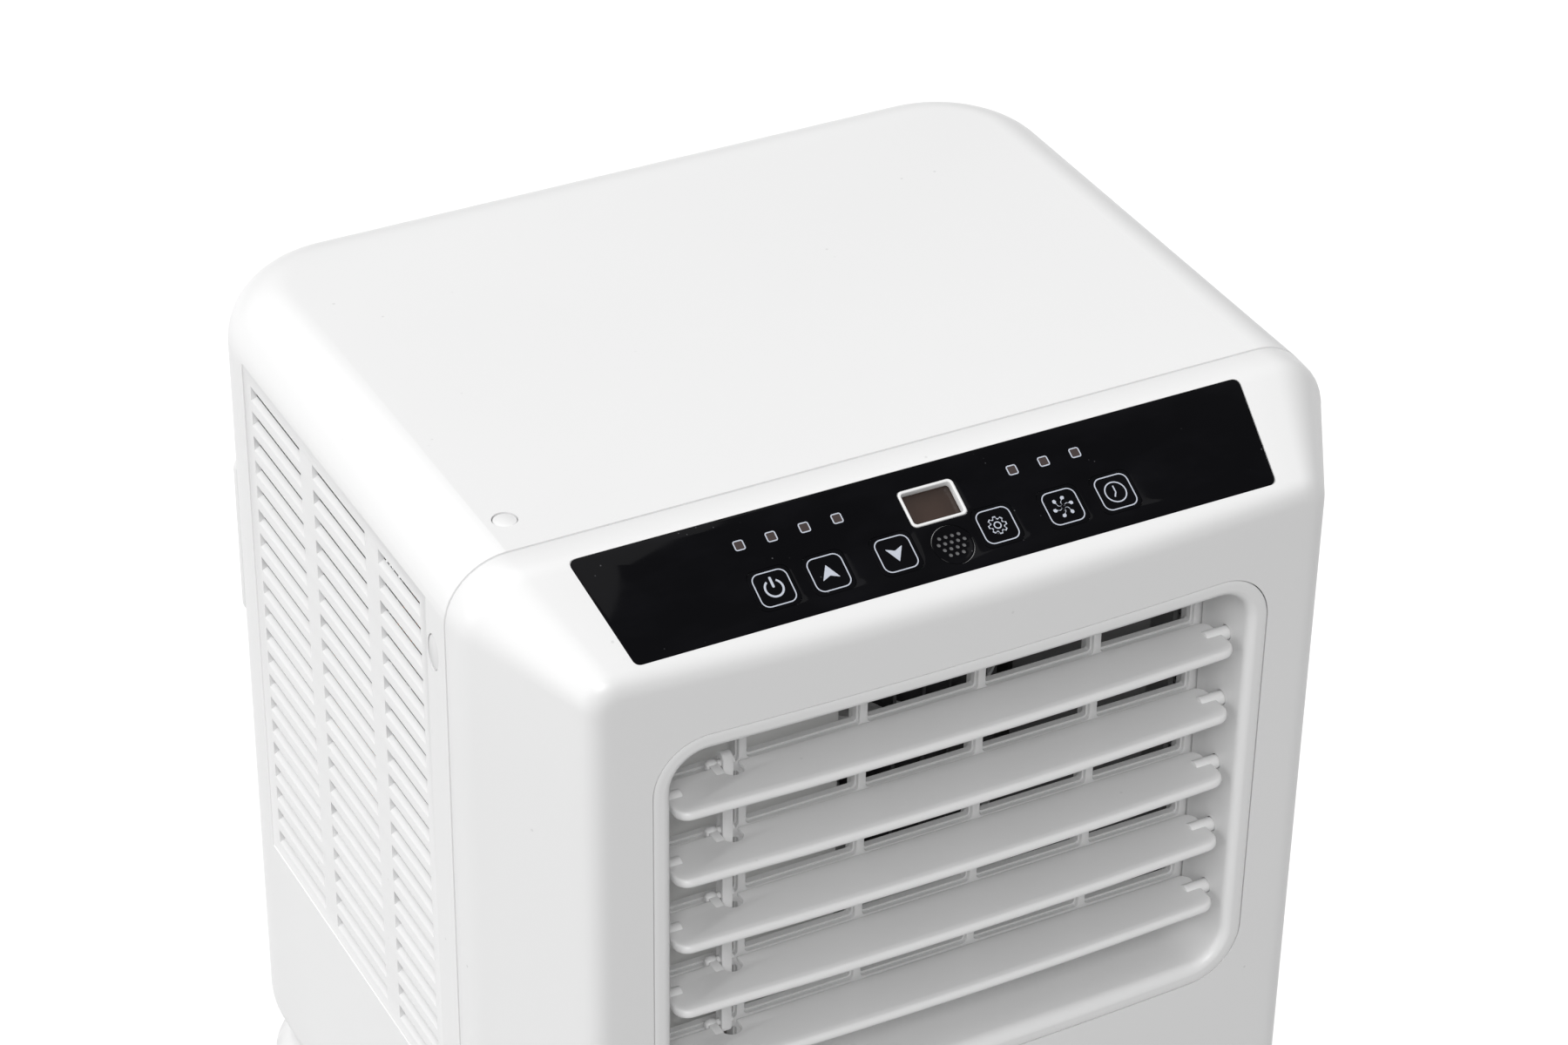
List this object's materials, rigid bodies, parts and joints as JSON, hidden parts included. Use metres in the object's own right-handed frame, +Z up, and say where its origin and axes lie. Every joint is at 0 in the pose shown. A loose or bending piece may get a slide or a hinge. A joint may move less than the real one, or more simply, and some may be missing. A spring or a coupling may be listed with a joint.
{
  "type": "portable air conditioner",
  "caption": "Upright portable air conditioner with an arched casing, sloping control face, linked outlet louvres, side intake grilles, rear exhaust collar and swivel casters.",
  "frame": {"origin": "on the floor under the middle of the unit", "axes": "+Z up, +Y towards the back with the exhaust collar, +X to the right as seen from the front"},
  "size_m": [0.32, 0.293, 0.69],
  "materials": {
    "casing_white": "satin moulded",
    "inner_white": "moulded",
    "label_black": "gloss film",
    "display_brown": "gloss",
    "dark_plastic": "moulded",
    "board_green": "solder mask",
    "zinc_steel": "zinc plated",
    "black_enamel": "gloss enamel",
    "fin_aluminium": "mill",
    "copper": "drawn tube",
    "rubber": "moulded",
    "filter_mesh": "woven mesh"
  },
  "bodies": {
    "housing": {"accumulator": "black_enamel", "base_pan": "inner_white", "blower_motor": "zinc_steel", "blower_scroll": "inner_white", "capillary_tube": "copper", "compressor": "black_enamel", "condenser_coil": "fin_aluminium", "condenser_motor": "zinc_steel", "condenser_scroll": "inner_white", "control_board": "board_green", "control_label": "label_black", "cord_inlet_gland": "rubber", "discharge_pipe": "copper", "display_module": "display_brown", "drip_deck": "inner_white", "electrical_box": "inner_white", "electrical_lid": "inner_white", "evaporator_coil": "fin_aluminium", "exhaust_collar": "inner_white", "front_panel": "casing_white", "left_intake_mesh": "filter_mesh", "left_screw_plug": "casing_white", "outlet_frame": "casing_white", "outlet_grid": "casing_white", "rear_casing": "casing_white", "right_intake_mesh": "filter_mesh", "right_screw_plug": "casing_white", "run_capacitor": "zinc_steel", "sensor_cover": "label_black", "suction_pipe": "copper", "top_screw_plug": "casing_white"},
    "louvre_1": {"louvre_1": "casing_white"},
    "louvre_2": {"louvre_2": "casing_white"},
    "louvre_3": {"louvre_3": "casing_white"},
    "louvre_4": {"louvre_4": "casing_white"},
    "louvre_5": {"louvre_5": "casing_white"},
    "louvre_link": {"louvre_link": "casing_white"},
    "power_key": {"power_key": "label_black"},
    "warmer_key": {"warmer_key": "label_black"},
    "cooler_key": {"cooler_key": "label_black"},
    "mode_key": {"mode_key": "label_black"},
    "speed_key": {"speed_key": "label_black"},
    "timer_key": {"timer_key": "label_black"},
    "blower_wheel": {"blower_wheel": "dark_plastic"},
    "condenser_fan": {"condenser_fan": "dark_plastic"},
    "rear_filter": {"rear_filter": "filter_mesh"},
    "upper_drain_plug": {"upper_drain_plug": "rubber"},
    "lower_drain_plug": {"lower_drain_plug": "rubber"},
    "caster_fork_front_left": {"caster_fork_front_left": "dark_plastic", "caster_axle_front_left": "zinc_steel"},
    "caster_wheel_front_left": {"caster_wheel_front_left": "rubber"},
    "caster_fork_front_right": {"caster_fork_front_right": "dark_plastic", "caster_axle_front_right": "zinc_steel"},
    "caster_wheel_front_right": {"caster_wheel_front_right": "rubber"},
    "caster_fork_rear_left": {"caster_fork_rear_left": "dark_plastic", "caster_axle_rear_left": "zinc_steel"},
    "caster_wheel_rear_left": {"caster_wheel_rear_left": "rubber"},
    "caster_fork_rear_right": {"caster_fork_rear_right": "dark_plastic", "caster_axle_rear_right": "zinc_steel"},
    "caster_wheel_rear_right": {"caster_wheel_rear_right": "rubber"}
  },
  "joints": [
    {"name": "louvre_1_tilt", "type": "hinge", "parent": "housing", "child": "louvre_1", "pos_m": [0, -0.1305, 0.609], "axis": [1, 0, 0], "range_deg": [-30, 50]},
    {"name": "louvre_2_tilt", "type": "hinge", "parent": "housing", "child": "louvre_2", "pos_m": [0, -0.1305, 0.582], "axis": [1, 0, 0], "range_deg": [-30, 50]},
    {"name": "louvre_3_tilt", "type": "hinge", "parent": "housing", "child": "louvre_3", "pos_m": [0, -0.1305, 0.555], "axis": [1, 0, 0], "range_deg": [-30, 50]},
    {"name": "louvre_4_tilt", "type": "hinge", "parent": "housing", "child": "louvre_4", "pos_m": [0, -0.1305, 0.528], "axis": [1, 0, 0], "range_deg": [-30, 50]},
    {"name": "louvre_5_tilt", "type": "hinge", "parent": "housing", "child": "louvre_5", "pos_m": [0, -0.1305, 0.501], "axis": [1, 0, 0], "range_deg": [-30, 50]},
    {"name": "louvre_link_swing", "type": "hinge", "parent": "louvre_1", "child": "louvre_link", "pos_m": [-0.077, -0.1205, 0.609], "axis": [1, 0, 0], "range_deg": [-50, 30]},
    {"name": "power_key_press", "type": "slide", "parent": "housing", "child": "power_key", "axis": [0, 0.4658, -0.8849], "range_m": [0, 0.0005], "stiffness_N_per_m": 1200, "springref_m": -0.0004},
    {"name": "warmer_key_press", "type": "slide", "parent": "housing", "child": "warmer_key", "axis": [0, 0.4658, -0.8849], "range_m": [0, 0.0005], "stiffness_N_per_m": 1200, "springref_m": -0.0004},
    {"name": "cooler_key_press", "type": "slide", "parent": "housing", "child": "cooler_key", "axis": [0, 0.4658, -0.8849], "range_m": [0, 0.0005], "stiffness_N_per_m": 1200, "springref_m": -0.0004},
    {"name": "mode_key_press", "type": "slide", "parent": "housing", "child": "mode_key", "axis": [0, 0.4658, -0.8849], "range_m": [0, 0.0005], "stiffness_N_per_m": 1200, "springref_m": -0.0004},
    {"name": "speed_key_press", "type": "slide", "parent": "housing", "child": "speed_key", "axis": [0, 0.4658, -0.8849], "range_m": [0, 0.0005], "stiffness_N_per_m": 1200, "springref_m": -0.0004},
    {"name": "timer_key_press", "type": "slide", "parent": "housing", "child": "timer_key", "axis": [0, 0.4658, -0.8849], "range_m": [0, 0.0005], "stiffness_N_per_m": 1200, "springref_m": -0.0004},
    {"name": "blower_spin", "type": "hinge", "parent": "housing", "child": "blower_wheel", "pos_m": [0.024, -0.0315, 0.55], "axis": [0, 0, 1], "continuous": true},
    {"name": "condenser_fan_spin", "type": "hinge", "parent": "housing", "child": "condenser_fan", "pos_m": [0.045, 0.05, 0.165], "axis": [0, 1, 0], "continuous": true},
    {"name": "rear_filter_slide", "type": "slide", "parent": "housing", "child": "rear_filter", "axis": [-1, 0, 0], "range_m": [0, 0.24]},
    {"name": "upper_drain_plug_pull", "type": "slide", "parent": "housing", "child": "upper_drain_plug", "axis": [0, 1, 0], "range_m": [0, 0.02]},
    {"name": "lower_drain_plug_pull", "type": "slide", "parent": "housing", "child": "lower_drain_plug", "axis": [0, 1, 0], "range_m": [0, 0.02]},
    {"name": "caster_swivel_front_left", "type": "hinge", "parent": "housing", "child": "caster_fork_front_left", "pos_m": [-0.112, -0.1035, 0.04], "axis": [0, 0, 1], "continuous": true},
    {"name": "caster_roll_front_left", "type": "hinge", "parent": "caster_fork_front_left", "child": "caster_wheel_front_left", "pos_m": [-0.112, -0.0925, 0.0165], "axis": [1, 0, 0], "continuous": true},
    {"name": "caster_swivel_front_right", "type": "hinge", "parent": "housing", "child": "caster_fork_front_right", "pos_m": [0.112, -0.1035, 0.04], "axis": [0, 0, 1], "continuous": true},
    {"name": "caster_roll_front_right", "type": "hinge", "parent": "caster_fork_front_right", "child": "caster_wheel_front_right", "pos_m": [0.112, -0.0925, 0.0165], "axis": [1, 0, 0], "continuous": true},
    {"name": "caster_swivel_rear_left", "type": "hinge", "parent": "housing", "child": "caster_fork_rear_left", "pos_m": [-0.112, 0.0885, 0.04], "axis": [0, 0, 1], "continuous": true},
    {"name": "caster_roll_rear_left", "type": "hinge", "parent": "caster_fork_rear_left", "child": "caster_wheel_rear_left", "pos_m": [-0.112, 0.0995, 0.0165], "axis": [1, 0, 0], "continuous": true},
    {"name": "caster_swivel_rear_right", "type": "hinge", "parent": "housing", "child": "caster_fork_rear_right", "pos_m": [0.112, 0.0885, 0.04], "axis": [0, 0, 1], "continuous": true},
    {"name": "caster_roll_rear_right", "type": "hinge", "parent": "caster_fork_rear_right", "child": "caster_wheel_rear_right", "pos_m": [0.112, 0.0995, 0.0165], "axis": [1, 0, 0], "continuous": true}
  ],
  "couplings": [
    {"joint": "louvre_2_tilt", "follows": "louvre_1_tilt", "ratio": 1},
    {"joint": "louvre_3_tilt", "follows": "louvre_1_tilt", "ratio": 1},
    {"joint": "louvre_4_tilt", "follows": "louvre_1_tilt", "ratio": 1},
    {"joint": "louvre_5_tilt", "follows": "louvre_1_tilt", "ratio": 1},
    {"joint": "louvre_link_swing", "follows": "louvre_1_tilt", "ratio": -1}
  ]
}
